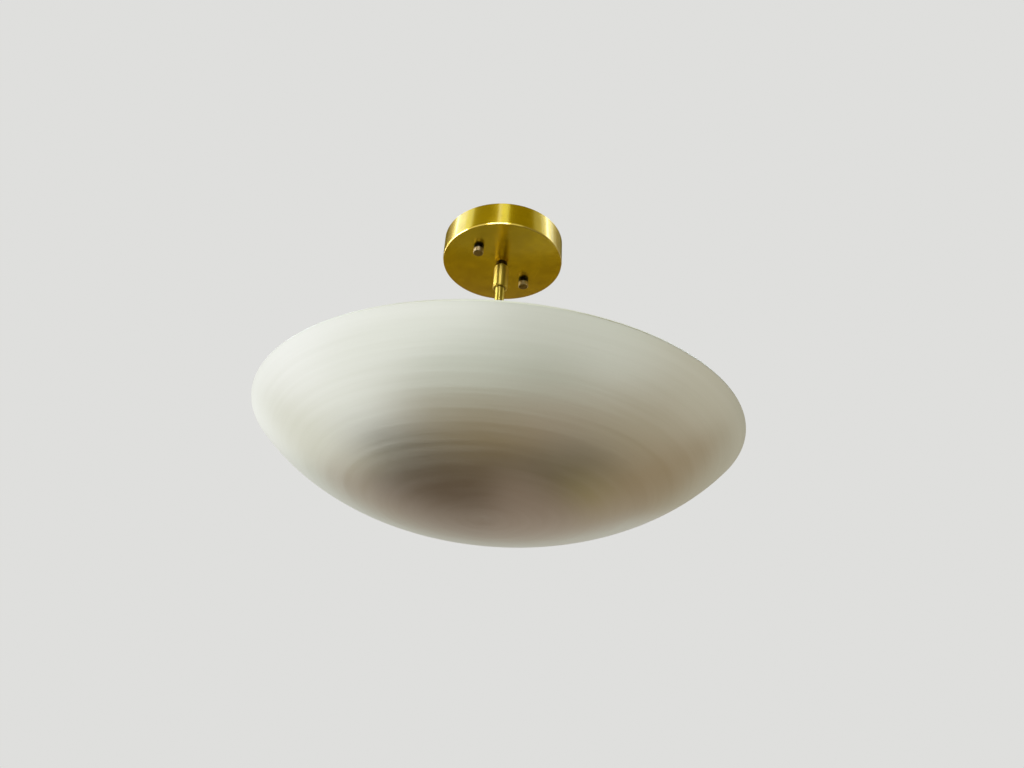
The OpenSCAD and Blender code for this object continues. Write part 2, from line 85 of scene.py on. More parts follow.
def noise(material, place, scale, detail, roughness=0.5):
    """Random tones round 0.5, in patches about one over the scale wide, with finer ones by detail."""
    return add(material, "ShaderNodeTexNoise", {"Vector": place, "Scale": scale, "Detail": detail,
                                                "Roughness": roughness}).outputs["Fac"]


def surface(material, shader, colour, roughness, height=None, strength=0.0, distance=0.0):
    """Joins a colour and a roughness to the shader and, where there is a height, a bump of that height times
    the distance, in metres."""
    links = material.node_tree.links
    links.new(colour, shader.inputs["Base Color"])
    links.new(roughness, shader.inputs["Roughness"])
    if height is not None:
        bump = add(material, "ShaderNodeBump", {"Height": height, "Strength": strength, "Distance": distance})
        links.new(bump.outputs["Normal"], shader.inputs["Normal"])


def zinc_plate(name, low, high):
    """Zinc plate: cloudy from a coarse noise, dull where it is cloudy, with fine scratches as a bump."""
    material, shader = bare(name, 1.0)
    place = place_on(material)
    cloud = noise(material, place, 260.0, 4.0)
    grain = noise(material, place, 2600.0, 2.0)
    surface(material, shader, between(material, cloud, low, high), spread(material, cloud, 0.26, 0.44),
            grain, 0.12, 0.0001)
    return material


def dress(node, material):
    """Puts a material on a solid that keeps its exact shape."""
    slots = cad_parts[node].data.materials
    slots.clear()
    slots.append(material)


zinc = zinc_plate("zinc_plate", (0.46, 0.47, 0.49), (0.70, 0.71, 0.72))
dress("mounting_bracket", zinc)


# Ground screw: a slotted hexagon head with its washer, rolled from steel and dyed green so that the earth
# wire is found at a glance. The dye is patchy, lighter and glossier in places.
green, shader = bare("green_dye", 0.7)
wear = noise(green, place_on(green), 1400.0, 5.0)
surface(green, shader, between(green, wear, (0.01, 0.11, 0.04), (0.05, 0.30, 0.12)),
        spread(green, wear, 0.5, 0.3))
dress("ground_screw", green)


# Canopy studs and their locknuts: two 4.2 mm threaded rods, cut to length and chamfered, screwed into the
# bracket and locked under it by hexagon nuts. They carry the canopy and its two knobs.
def screw_thread(crest, depth, pitch, low, high, columns, per_turn=8, rolled=0.0):
    """Radius and height of a screw thread between two heights. The radius falls from the crest by depth times
    a wave of (height / pitch - angle / full turn): a plain V for a cut thread, a cosine for a rolled one. The
    wave dies out over the first and last pitch."""
    height = np.linspace(low, high, int(np.ceil((high - low) / pitch * per_turn)) + 1)[:, None]
    angle = np.linspace(0, 1, columns, endpoint=False)[None]
    phase = (height / pitch - angle) % 1
    wave = (1 - rolled) * np.abs(2 * phase - 1) + rolled * (0.5 + 0.5 * np.cos(2 * np.pi * phase))
    fade = np.clip((height - low) / pitch, 0, 1) * np.clip((high - height) / pitch, 0, 1)
    return crest - depth * (1 - wave) * fade, height + 0 * angle


def carried(parts, columns=96):
    """Carries profiles and threads round the axis: x = radius cos angle, y = radius sin angle, z = height.
    Each part is a list of (radius, height) points or a pair of grids that already go round."""
    rows = []
    for part in parts:
        if isinstance(part, tuple):
            rows.append(np.stack(part, -1))
        else:
            line = np.asarray(part, float)
            rows.append(np.broadcast_to(line[:, None], (len(line), columns, 2)))
    rows = np.concatenate(rows)
    angle = np.linspace(0, 2 * np.pi, columns, endpoint=False)[None]
    return np.stack([rows[..., 0] * np.cos(angle), rows[..., 0] * np.sin(angle), rows[..., 1]], -1)


def nut(across, bore, low, high, columns=96):
    """A hexagon nut: the radius is half the width across flats over the cosine of the angle from the
    nearest flat's middle. Both faces end in a circle, and a 30 degree cone cuts the corners back to it."""
    flat, angle = across / 2, np.linspace(0, 2 * np.pi, columns, endpoint=False)
    side = flat / np.cos(angle % (np.pi / 3) - np.pi / 6)
    ring, cut = np.full(columns, flat * 0.97), (side - flat * 0.97) * np.tan(np.pi / 6)
    inside, whole = np.full(columns, bore), np.ones(columns)
    radius = [inside, inside + 0.3, ring, side, side, ring, inside + 0.3, inside]
    height = [whole * (low + 0.3), whole * low, whole * low, low + cut,
              high - cut, whole * high, whole * high, whole * (high - 0.3)]
    return carried([(np.array(radius), np.array(height))], columns)


def moved(grid, x=0.0, y=0.0, z=0.0):
    """The same grid, shifted."""
    return grid + np.array([x, y, z])


def skin(name, grids, material, soft=35):
    """Turns grids of points in millimetres into one closed mesh. Columns go once round and meet; rows end
    in poles, or meet too. Four neighbours make a face, three where a row has shrunk to a pole, and the
    faces are turned outwards by the sign of the volume that they enclose."""
    points, quads, fans, count = [], [], [], 0
    for grid in grids:
        rows, columns = grid.shape[:2]
        number = np.arange(rows * columns).reshape(rows, columns) + count
        pole = np.ptp(grid, axis=1).max(1) < 1e-6
        number[pole] = number[pole][:, :1]
        if not pole[0]:
            number = np.vstack([number, number[:1]])
        beside = np.roll(number, -1, 1)
        cell = np.stack([number[:-1], beside[:-1], beside[1:], number[1:]], -1).reshape(-1, 4)
        flat = grid.reshape(-1, 3)
        a, b, c, d = (flat[cell[:, k] - count] for k in range(4))
        enclosed = np.einsum("ij,ij->i", a, np.cross(b, c)) + np.einsum("ij,ij->i", a, np.cross(c, d))
        if enclosed.sum() < 0:
            cell = cell[:, ::-1]
        same = [cell[:, k] == cell[:, (k + 1) % 4] for k in range(4)]
        whole = ~(same[0] | same[1] | same[2] | same[3])
        quads.append(cell[whole])
        for k in range(4):
            fan = cell[same[k] & ~same[(k + 2) % 4]]
            fans.append(fan[:, [j for j in range(4) if j != k]])
        points.append(flat)
        count += rows * columns
    points, quads, fans = np.concatenate(points) / 1000, np.concatenate(quads), np.concatenate(fans)
    used, order = np.unique(np.concatenate([quads.ravel(), fans.ravel()]), return_inverse=True)
    quads, fans = order[:quads.size].reshape(-1, 4), order[quads.size:].reshape(-1, 3)
    mesh = bpy.data.meshes.new(name)
    mesh.from_pydata(points[used].tolist(), [], quads.tolist() + fans.tolist())
    mesh.shade_smooth()
    mesh.set_sharp_from_angle(angle=np.radians(soft))
    mesh.materials.append(material)
    piece = bpy.data.objects.new(name, mesh)
    bpy.context.scene.collection.objects.link(piece)
    return piece


stud_at, stud_r, stud_low = 36.0, 2.1, -33.5
stud = carried([
    [(0, stud_low), (stud_r - 0.5, stud_low), (stud_r, stud_low + 0.5)],
    screw_thread(stud_r, 0.36, 0.8, stud_low + 0.5, -0.5, 24, 6),
    [(stud_r, -0.5), (stud_r - 0.5, 0), (0, 0)]], 24)
studs = skin("threaded_studs", [moved(stud, -stud_at), moved(stud, stud_at)], zinc)
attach(studs, "ceiling_body")
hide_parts("canopy_studs")
lock = nut(8.0, 2.15, -5.2, -2.0, 48)
locknuts = skin("stud_nuts", [moved(lock, -stud_at), moved(lock, stud_at)], zinc)
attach(locknuts, "ceiling_body")
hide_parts("stud_locknuts")


# Canopy: a straight-sided cup, 127 mm across and 28 mm deep, spun from 1.2 mm brass. The edge between its
# side and its face is rounded in two steps. It was brushed on the lathe, the face more coarsely than the
# side, so that fine lines run round it, and then lacquered.
def rounded(corners, steps=5):
    """A profile of (radius, height) points from corners (radius, height, corner radius): each corner becomes
    an arc that touches its two sides, worked out as a turn from one side's normal to the other's."""
    c = np.array(corners, float)
    p, size = c[:, :2], c[:, 2]
    back, on = np.roll(p, 1, 0) - p, np.roll(p, -1, 0) - p
    back /= np.maximum(np.linalg.norm(back, axis=1, keepdims=True), 1e-9)
    on /= np.maximum(np.linalg.norm(on, axis=1, keepdims=True), 1e-9)
    half = np.arccos(np.clip((back * on).sum(1), -1, 1)) / 2
    reach = np.where(size > 0, size / np.maximum(np.tan(half), 1e-6), 0)[:, None]
    middle = back + on
    middle /= np.maximum(np.linalg.norm(middle, axis=1, keepdims=True), 1e-9)
    centre = p + middle * (size / np.maximum(np.sin(half), 1e-6))[:, None]
    first, last = p + back * reach - centre, p + on * reach - centre
    turn = (np.pi - 2 * half)[:, None, None]
    share = np.linspace(0, 1, steps)[None, :, None]
    arc = np.sin((1 - share) * turn) * first[:, None] + np.sin(share * turn) * last[:, None]
    arc = arc / np.maximum(np.sin(turn), 1e-6) + centre[:, None]
    arc = np.where(size[:, None, None] > 0, arc, p[:, None])
    line = arc.reshape(-1, 2)
    keep = np.r_[True, np.linalg.norm(np.diff(line, axis=0), axis=1) > 1e-6]
    return line[keep]


def lathe_lines(material, place, fineness, sway=1.5):
    """Noise that is drawn out round the axis: it is read at (cosine, sine, height) and at the distance from
    the axis, so that it changes quickly across the lines and slowly along them."""
    def vector(operation, *inputs):
        """One step of vector arithmetic on its inputs, in their order."""
        return add(material, "ShaderNodeVectorMath", dict(enumerate(inputs)), operation=operation).outputs

    flat = vector("MULTIPLY", place, (1, 1, 0))["Vector"]
    away = vector("LENGTH", flat)["Value"]
    around = vector("MULTIPLY", vector("NORMALIZE", flat)["Vector"], (sway, sway, 0))["Vector"]
    spot = vector("ADD", around, vector("MULTIPLY", place, (0, 0, fineness))["Vector"])["Vector"]
    far = add(material, "ShaderNodeMath", {0: away, 1: fineness}, operation="MULTIPLY").outputs["Value"]
    return add(material, "ShaderNodeTexNoise", {"Vector": spot, "W": far, "Scale": 1.0, "Detail": 3.0,
                                                "Roughness": 0.6}, noise_dimensions="4D").outputs["Fac"]


def mean(material, one, other):
    """Half the sum of two tones."""
    both = add(material, "ShaderNodeMath", {0: one, 1: other}, operation="ADD").outputs["Value"]
    return add(material, "ShaderNodeMath", {0: both, 1: 0.5}, operation="MULTIPLY").outputs["Value"]


def turned_brass(name, low, high, smooth, rough, fineness, depth, grain=0.0, lacquer=0.0, haze=0.05,
                 index=1.6):
    """Brass worked on a lathe: its lines round the axis show as changes of gloss and as a fine bump, and slow
    clouds of tone come from the lacquer and from handling. The grain spreads a highlight across the lines,
    and the lacquer over it has its own haze and index."""
    material, shader = bare(name, 1.0, Anisotropic=grain, Anisotropic_Rotation=0.25, Coat_Weight=lacquer,
                            Coat_Roughness=haze, Coat_IOR=index)
    place = place_on(material)
    lines = lathe_lines(material, place, fineness)
    cloud = noise(material, place, 70.0, 5.0)
    surface(material, shader, between(material, mean(material, lines, cloud), low, high),
            spread(material, lines, smooth, rough), lines, depth, 0.0002)
    if grain:
        round_axis = add(material, "ShaderNodeTangent", direction_type="RADIAL", axis="Z").outputs["Tangent"]
        material.node_tree.links.new(round_axis, shader.inputs["Tangent"])
    return material


def faces_in(piece, material, chosen):
    """Gives one more material to those faces of a piece that are chosen by their middles, in millimetres, and
    by their outward normals."""
    faces, slot = piece.data.polygons, len(piece.data.materials)
    piece.data.materials.append(material)
    middles, normals = np.empty((2, len(faces), 3), np.float32)
    before = np.empty(len(faces), np.int32)
    faces.foreach_get("center", middles.ravel())
    faces.foreach_get("normal", normals.ravel())
    faces.foreach_get("material_index", before)
    after = np.where(chosen(middles.astype(float) * 1000, normals), slot, before)
    faces.foreach_set("material_index", after.astype(np.int32))


canopy_r, canopy_h, canopy_wall, canopy_bore = 63.5, 28.0, 1.2, 5.05
satin_brass = turned_brass("satin_brass", (0.57, 0.375, 0.002), (0.73, 0.495, 0.006), 0.22, 0.27, 2600.0,
                           0.02, grain=0.55, lacquer=0.9, haze=0.14, index=1.85)
brushed_face = turned_brass("brushed_face", (0.51, 0.35, 0.002), (0.80, 0.57, 0.008), 0.21, 0.26, 2600.0,
                            0.03, grain=0.5, lacquer=0.4, haze=0.15)
canopy = skin("canopy_cup", [carried([rounded([
    (canopy_bore, -canopy_h, 0),
    (canopy_r - 0.6, -canopy_h, 0.5),
    (canopy_r, 1.7 - canopy_h, 2.4),
    (canopy_r, 0, 0.3),
    (canopy_r - canopy_wall, 0, 0.3),
    (canopy_r - canopy_wall, canopy_wall - canopy_h, 1.0),
    (canopy_bore, canopy_wall - canopy_h, 0)], 11)], 192)], satin_brass)
faces_in(canopy, brushed_face, lambda p, n: p[:, 2] < -canopy_h + 0.02)
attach(canopy, "ceiling_body")
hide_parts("canopy")


# Swivel collar: turned from brass, with a narrow flange that bears on the canopy's face from below and a
# pipe thread on which a hexagon nut clamps the canopy and the stop washer from inside. It is coloured nearly
# black: painted shade under the canopy's face.
polished_brass = turned_brass("polished_brass", (0.66, 0.49, 0.06), (0.74, 0.56, 0.10), 0.29, 0.34, 3200.0,
                              0.01, grain=1.0)
# Nearly black brass: painted shade, for the collar under the canopy and the mouth inside the sleeve.
painted_shade_brass = turned_brass("painted_shade_brass", (0.06, 0.036, 0.006), (0.11, 0.066, 0.012), 0.24, 0.30,
                             3200.0, 0.01)
pipe_r, pipe_depth, pipe_pitch, pipe_nut_width, pipe_nut_bore = 4.85, 0.42, 0.94, 14.3, 4.9
collar_low, collar_top, collar_r, collar_bore, thread_low = -29.5, -20.0, 6.0, 3.75, -26.4
collar = skin("collar", [carried([
    rounded([(collar_bore, collar_low, 0.0), (collar_r, collar_low, 0.35), (collar_r, -canopy_h, 0.15),
             (pipe_r, -canopy_h, 0)])[:-1],
    [(pipe_r, -canopy_h), (pipe_r, thread_low)],
    screw_thread(pipe_r, pipe_depth, pipe_pitch, thread_low, collar_top - 0.5, 96),
    [(pipe_r, collar_top - 0.5), (4.4, collar_top), (collar_bore + 0.2, collar_top),
     (collar_bore, collar_top - 0.2)]])], painted_shade_brass)
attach(collar, "ceiling_body")
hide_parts("swivel_collar")
clamp_nut = skin("collar_hexagon_nut", [nut(pipe_nut_width, pipe_nut_bore, -26.0, -23.0)], zinc)
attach(clamp_nut, "ceiling_body")
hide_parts("collar_nut")
dress("stop_washer", zinc)
dress("stop_ring", zinc)


# Knobs: two plain barrels turned from brass bar, with a mottled brown patina, tapped from one end. They screw
# up the studs and press the canopy to the ceiling. A black band round the top of each, in the last
# millimetres below the canopy, is painted shade where the knob meets the canopy.
knob_r, knob_top, knob_low, knob_bore, knob_floor = 5.3, -28.1, -36.6, 2.15, -34.1
# Painted shade: between these heights the knob's side turns black towards the canopy.
shade_band_from, shade_band_to = -31.8, -30.4
aged, shader = bare("patina_with_painted_shade", 1.0, Anisotropic=0.9, Coat_Weight=0.3, Coat_Roughness=0.1)
place = place_on(aged)
blot = noise(aged, place, 420.0, 5.0, 0.65)
patina = between(aged, blot, (0.40, 0.28, 0.10), (0.80, 0.64, 0.32))
tall = add(aged, "ShaderNodeSeparateXYZ", {"Vector": place}).outputs["Z"]
sway = add(aged, "ShaderNodeMath", {0: blot, 1: 0.0012}, operation="MULTIPLY").outputs["Value"]
edge = add(aged, "ShaderNodeMath", {0: tall, 1: sway}, operation="ADD").outputs["Value"]
painted_shade_band = add(aged, "ShaderNodeMapRange", {"Value": edge, "From Min": shade_band_from / 1000,
                                         "From Max": shade_band_to / 1000})
patina_and_shade = add(aged, "ShaderNodeMixRGB", {"Fac": painted_shade_band.outputs["Result"], "Color1": patina,
                                        "Color2": (0.012, 0.009, 0.005, 1)})
surface(aged, shader, patina_and_shade.outputs["Color"], spread(aged, blot, 0.46, 0.34),
        noise(aged, place, 2400.0, 2.0), 0.15, 0.0001)
upward = add(aged, "ShaderNodeCombineXYZ", {"X": 0.0, "Y": 0.0, "Z": 1.0}).outputs["Vector"]
aged.node_tree.links.new(upward, shader.inputs["Tangent"])
worn_brass = turned_brass("worn_brass", (0.15, 0.10, 0.02), (0.34, 0.23, 0.07), 0.24, 0.34, 900.0, 0.03)
barrel = carried([rounded([
    (0, knob_low, 0),
    (knob_r - 0.5, knob_low, 0.2),
    (knob_r, knob_low + 0.5, 0.2),
    (knob_r, knob_top - 0.25, 0.1),
    (knob_r - 0.25, knob_top, 0.1),
    (knob_bore, knob_top, 0),
    (knob_bore, knob_floor, 0),
    (0, knob_floor, 0)])], 96)
for side, x in (("left", -stud_at), ("right", stud_at)):
    knob = skin("barrel_knob_" + side, [moved(barrel, x)], aged)
    faces_in(knob, worn_brass, lambda p, n: p[:, 2] < knob_low + 0.1)
    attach(knob, "knob_" + side)
    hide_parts("knob_" + side)


# Swivel stem: a hollow ball stud turned in one piece from brass. Its shank turns in the collar, the stop
# ring holds it above, and its ball sits in the sleeve below, so that the rod always hangs straight.
ball_z, ball_r, bore_r, shank_r, shank_low, stem_top = -35.0, 6.0, 2.3, 3.7, -29.8, -16.0
lean = np.radians(np.linspace(-67.46, 57.77, 40))
ball = np.stack([ball_r * np.cos(lean), ball_z + ball_r * np.sin(lean)], -1)
stem = skin("ball_stud", [carried([
    ball,
    rounded([(3.2, shank_low, 0), (shank_r, shank_low, 0.1), (shank_r, stem_top, 0.4),
             (bore_r, stem_top, 0.3), (bore_r, -40.0, 0)])])], polished_brass)
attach(stem, "swivel_stem")
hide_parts("swivel_stem")


# Swivel sleeve: a turned and polished brass cup. Its top edge was rolled in over the ball, two pins pressed
# through its wall let it tilt, and the rod screws into it from below. The pins are ground flush, so each
# shows only as a fine ring.
def pin_rings(grid, pin_r=1.25, width=0.11, depth=0.09):
    """Presses a groove into the sleeve's outside round each pin: its depth is a bell curve of the distance
    from the pin's edge, measured over the surface as (arc length, height) from the pin's middle."""
    radius = np.hypot(grid[..., 0], grid[..., 1])
    arc = np.arcsin(np.clip(np.abs(grid[..., 1]) / radius, 0, 1)) * radius
    away = np.hypot(arc, grid[..., 2] - ball_z)
    dip = depth * np.exp(-((away - pin_r) / width) ** 2) * (radius > sleeve_r - 0.2)
    return grid * np.stack([1 - dip / radius, 1 - dip / radius, 1 + 0 * dip], -1)


sleeve_r, sleeve_top, sleeve_low, straight_to = 7.6, -32.4, -61.0, -36.8
seat_r, seat_low, tube_r, tube_low, mouth_r = 6.3, -42.3, 4.8, -55.0, 5.6
seat = np.linspace(np.arcsin((sleeve_top - ball_z) / seat_r), 0, 8)
wall_rows = np.linspace(straight_to, -34.87, 24)
sleeve = skin("sleeve", [pin_rings(carried([
    rounded([(mouth_r, sleeve_low, 0.1), (7.0, sleeve_low, 0.15), (sleeve_r, -60.4, 0.2),
             (sleeve_r, straight_to, 0)]),
    np.stack([np.full_like(wall_rows, sleeve_r), wall_rows], -1),
    rounded([(sleeve_r, straight_to, 0), (sleeve_r, -34.8, 0.4), (7.075, -33.24, 0.8),
             (5.85, sleeve_top, 0.1), (5.74, sleeve_top, 0)])[1:],
    np.stack([seat_r * np.cos(seat), ball_z + seat_r * np.sin(seat)], -1),
    [(seat_r, seat_low), (tube_r, seat_low), (tube_r, tube_low), (mouth_r, tube_low)]], 448))],
    polished_brass)
# The mouth and bore at the sleeve's lower end are painted nearly black: painted shade in the recess round the
# rod.
faces_in(sleeve, painted_shade_brass, lambda p, n: np.hypot(p[:, 0], p[:, 1]) < mouth_r + 0.02)
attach(sleeve, "pendant")
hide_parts("swivel_sleeve")
dress("swivel_pins", polished_brass)


# Rod: a drawn brass tube, 9.5 mm across, polished along its length and cut square. Its upper end screws
# into the sleeve and its lower end through the cluster's cover, where a nut holds it from inside.
rod_r, rod_hole, rod_bore, rod_low, rod_high = 4.75, 4.8, 3.4, -243.0, -46.0
drawn, shader = bare("drawn_brass", 1.0, Anisotropic=1.0, Anisotropic_Rotation=0.25)
place = place_on(drawn)
stretch = add(drawn, "ShaderNodeMapping", {"Vector": place, "Scale": (1.0, 1.0, 0.03)}).outputs["Vector"]
draw_lines = noise(drawn, stretch, 1500.0, 3.0)
surface(drawn, shader, between(drawn, noise(drawn, place, 90.0, 4.0), (0.76, 0.58, 0.08), (0.86, 0.67, 0.13)),
        spread(drawn, draw_lines, 0.33, 0.40), draw_lines, 0.05, 0.0001)
round_axis = add(drawn, "ShaderNodeTangent", direction_type="RADIAL", axis="Z").outputs["Tangent"]
drawn.node_tree.links.new(round_axis, shader.inputs["Tangent"])
rod = skin("drawn_rod", [carried([rounded([
    (rod_bore, rod_low, 0.15), (rod_r, rod_low, 0.25),
    (rod_r, rod_high, 0.25), (rod_bore, rod_high, 0.15)])])], drawn)
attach(rod, "pendant")
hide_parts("rod")
rod_nut = skin("rod_hexagon_nut", [nut(pipe_nut_width, rod_hole, -241.5, -238.5)], zinc)
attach(rod_nut, "pendant")
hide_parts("rod_nut")


# Cluster: a cup turned from brass bar with a screwed-on cover, which joins the rod, the three lamp arms and
# the dish's nipple and hides the wires' joints. It is left as turned, with a slight brown film.
plain_brass = turned_brass("plain_brass", (0.50, 0.33, 0.09), (0.68, 0.49, 0.15), 0.24, 0.38, 2200.0, 0.16)
cover_r, cover_low, cover_top = 23.0, -238.5, -235.5
cover = skin("cluster_lid", [carried([rounded([
    (rod_hole, cover_low, 0), (cover_r, cover_low, 0.2), (cover_r, cover_top - 0.8, 0.2),
    (cover_r - 0.8, cover_top, 0.25), (rod_hole + 0.3, cover_top, 0.15),
    (rod_hole, cover_top - 0.3, 0)])])], plain_brass)
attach(cover, "pendant")
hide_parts("cluster_cover")
dress("cluster_body", plain_brass)
dress("cover_screws", zinc)


# Lamp arms: three short threaded nipples of brass tube, each locked on the cluster's flat by a hexagon nut,
# with a lampholder screwed on its outer end.
lamp_z, lamp_turns = -254.0, (90, 210, 330)


def on_lamp(grid, turn):
    """Lays a piece that was drawn along +Z on a lamp's axis: its axis goes to the lamp's direction, and the
    whole is turned about the light's axis and lowered to the lamps."""
    a, x, y, z = np.radians(turn), grid[..., 0], grid[..., 1], grid[..., 2]
    return np.stack([z * np.cos(a) - y * np.sin(a), z * np.sin(a) + y * np.cos(a), lamp_z - x], -1)


def turned_by(points, angle):
    """Turns points about the Z axis: x becomes x cos angle - y sin angle, and y becomes x sin angle + y cos
    angle."""
    c, s = np.cos(angle), np.sin(angle)
    return points @ np.array([[c, s, 0], [-s, c, 0], [0, 0, 1]])


def pipe_nipple(low, high):
    """A short tube with a pipe thread from end to end, and both ends chamfered by 0.4 mm."""
    bore, chamfer = 3.4, 0.4
    return carried([
        [(bore, low), (pipe_r - chamfer, low), (pipe_r, low + chamfer)],
        screw_thread(pipe_r, pipe_depth, pipe_pitch, low + chamfer, high - chamfer, 64, 6),
        [(pipe_r, high - chamfer), (pipe_r - chamfer, high), (bore, high)]], 64)


arm = pipe_nipple(18.5, 37.0)
arm_nut = turned_by(nut(pipe_nut_width, pipe_nut_bore, 22.0, 25.0), np.pi / 6)
for i, turn in enumerate(lamp_turns, 1):
    piece = skin("arm_nipple_%d" % i, [on_lamp(arm, turn)], plain_brass)
    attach(piece, "pendant")
    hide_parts("lamp_arm_%d" % i)
nuts = skin("arm_hexagon_nuts", [on_lamp(arm_nut, turn) for turn in lamp_turns], zinc)
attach(nuts, "pendant")
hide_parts("arm_nuts")


# Lampholders: glazed porcelain, pressed in a mould and fired, 35 mm across. Each has a hub that is cemented
# on its arm and a well for the screw shell. The glaze has run back a little from the edges.
porcelain, shader = bare("glazed_porcelain", 0.0, IOR=1.5, Coat_Weight=0.4, Coat_Roughness=0.06)
place = place_on(porcelain)
glaze = noise(porcelain, place, 60.0, 3.0)
dots = add(porcelain, "ShaderNodeMapRange", {"Value": noise(porcelain, place, 900.0, 1.0), "From Min": 0.70,
                                             "From Max": 0.76})
tone = between(porcelain, glaze, (0.80, 0.77, 0.69), (0.87, 0.85, 0.79))
mix = add(porcelain, "ShaderNodeMixRGB", {"Fac": dots.outputs["Result"], "Color1": tone,
                                          "Color2": (0.52, 0.44, 0.34, 1)})
surface(porcelain, shader, mix.outputs["Color"], spread(porcelain, glaze, 0.16, 0.26), glaze, 0.12, 0.001)
holder_r, holder_front, hub_r, hub_low, hub_top = 17.5, 83.0, 8.5, 30.0, 37.0
well_r, well_low, pocket_r, pocket_low, wire_r = 13.87, 58.0, 11.37, 50.0, 3.0
holder = carried([rounded([
    (pipe_nut_bore, hub_low, 0.3), (hub_r, hub_low, 0.8), (hub_r, hub_top, 0.9), (14.5, 39.0, 2.0),
    (holder_r, 42.0, 2.0), (holder_r, holder_front, 1.2), (well_r, holder_front, 0.6), (well_r, well_low, 0),
    (pocket_r, well_low, 0.4), (pocket_r, pocket_low, 0), (wire_r, pocket_low, 0.2), (wire_r, hub_top, 0),
    (pipe_nut_bore, hub_top, 0)])])
for i, turn in enumerate(lamp_turns, 1):
    piece = skin("porcelain_holder_%d" % i, [on_lamp(holder, turn)], porcelain)
    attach(piece, "pendant")
    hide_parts("lampholder_%d" % i)


# Screw shells and contacts: drawn from thin brass sheet. The thread of each shell is rolled outwards, so
# its crests stand clear of the bulb, and the contact at the bottom of the well is a riveted disc.
contact_brass = turned_brass("contact_brass", (0.60, 0.42, 0.12), (0.78, 0.58, 0.20), 0.22, 0.34, 1800.0, 0.1)
shell_r, shell_hole, shell_wall, shell_low, shell_high = 13.35, 12.15, 0.5, well_low, 81.0
shell_depth, lamp_pitch = 0.42, 3.63
rolled_r, rolled_height = screw_thread(shell_r + shell_depth, shell_depth, lamp_pitch, shell_low + 1.0,
                                       shell_high - 0.6, 72, 14, 1.0)
shell = carried([
    [(shell_hole, shell_low), (shell_r + shell_wall, shell_low), (shell_r + shell_wall, shell_high),
     (shell_r, shell_high)],
    (rolled_r[::-1], rolled_height[::-1]),
    [(shell_r, shell_low + shell_wall), (shell_hole, shell_low + shell_wall)]], 72)
for i, turn in enumerate(lamp_turns, 1):
    piece = skin("rolled_shell_%d" % i, [on_lamp(shell, turn)], contact_brass)
    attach(piece, "pendant")
    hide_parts("screw_shell_%d" % i)
    dress("contact_%d" % i, contact_brass)


# Bulbs: a nickel-plated base with a rolled lamp thread, and a round envelope of opal glass whose neck is
# cemented into it. Each turns in its own lampholder.
nickel, shader = bare("nickelled_base", 1.0)
cloud = noise(nickel, place_on(nickel), 300.0, 4.0)
surface(nickel, shader, between(nickel, cloud, (0.58, 0.57, 0.54), (0.74, 0.73, 0.70)),
        spread(nickel, cloud, 0.2, 0.34))
opal, shader = bare("opal_glass", 0.0, IOR=1.5, Coat_Weight=0.3, Coat_Roughness=0.03)
milk = noise(opal, place_on(opal), 35.0, 2.0)
surface(opal, shader, between(opal, milk, (0.86, 0.86, 0.84), (0.92, 0.92, 0.90)),
        spread(opal, milk, 0.10, 0.16), milk, 0.04, 0.001)
base_r, base_bore, base_floor, tip_r, cup_r = 13.3, 12.1, 60.5, 4.5, 10.8
base_tip, base_end, roll_low, roll_high = 52.3, 82.0, 59.7, 79.5
base = carried([
    rounded([(0, base_tip, 0), (tip_r, base_tip, 0.6), (tip_r, base_tip + 1, 0), (cup_r, 56.0, 1.0),
             (cup_r, 58.8, 0.3), (base_r, roll_low, 0)]),
    screw_thread(base_r, 0.75, lamp_pitch, roll_low, roll_high, 72, 14, 1.0),
    [(base_r, 80.2), (base_r, base_end), (base_r - 0.4, base_end), (base_bore, 79.0),
     (base_bore, base_floor), (0, base_floor)]], 72)
globe_r, globe_mid, neck_r, glass_low, flare_low, glass_wall = 24.0, 123.0, 12.7, 74.0, 84.0, 1.0
tip_ring = 0.02


def glass_profile(inset):
    """The envelope's profile from the neck to the tip, set in by a distance: the radius swells from the
    neck's to the globe's by half of 1 - cos(pi share), and a quarter circle closes it but for a very small
    ring, so that the outside and the inside stay one surface."""
    share = np.linspace(0, 1, 40)
    swell = neck_r + (globe_r - neck_r) / 2 * (1 - np.cos(np.pi * share)) - inset
    dome = np.radians(np.linspace(0, 90, 40))[1:-1]
    return np.concatenate([
        [(neck_r - inset, glass_low)],
        np.stack([swell, flare_low + (globe_mid - flare_low) * share], -1),
        np.stack([(globe_r - inset) * np.cos(dome), globe_mid + (globe_r - inset) * np.sin(dome)], -1),
        [(tip_ring, globe_mid + globe_r - inset)]])


glass = carried([glass_profile(0), glass_profile(glass_wall)[::-1]])
for i, turn in enumerate(lamp_turns, 1):
    piece = skin("threaded_base_%d" % i, [on_lamp(base, turn)], nickel)
    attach(piece, "bulb_%d" % i)
    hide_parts("bulb_base_%d" % i)
    piece = skin("opal_bulb_%d" % i, [on_lamp(glass, turn)], opal, 60)
    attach(piece, "bulb_%d" % i)
    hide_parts("bulb_glass_%d" % i)


# Dish: spun from 1.5 mm sheet, 432 mm across, with its lip rolled to a 3 mm bead. The tool has left faint
# rings, and the follower that held the blank a round mark at the pole. The outside is finished in a pale
# satin that mirrors its surroundings softly, the lip's top is paler and dull, a painted highlight that shows
# as a bright line along the rim, and the inside is as it was spun.
rim_r, rim_z, curve_h, dish_wall, bead_r, flatness, leaning = 215.25, -236.5, 73.5, 1.5, 1.49, 0.81, 1.74
bead_mid = rim_r - dish_wall / 2


def dish_curve(t):
    """The outside of the dish for t from 0 at the pole to 90 degrees at the lip: the radius is the rim's
    times sin t to the flatness, and the height falls from the lip by the depth times cos t to the leaning."""
    return np.stack([rim_r * np.sin(t) ** flatness, rim_z - curve_h * np.cos(t) ** leaning], -1)


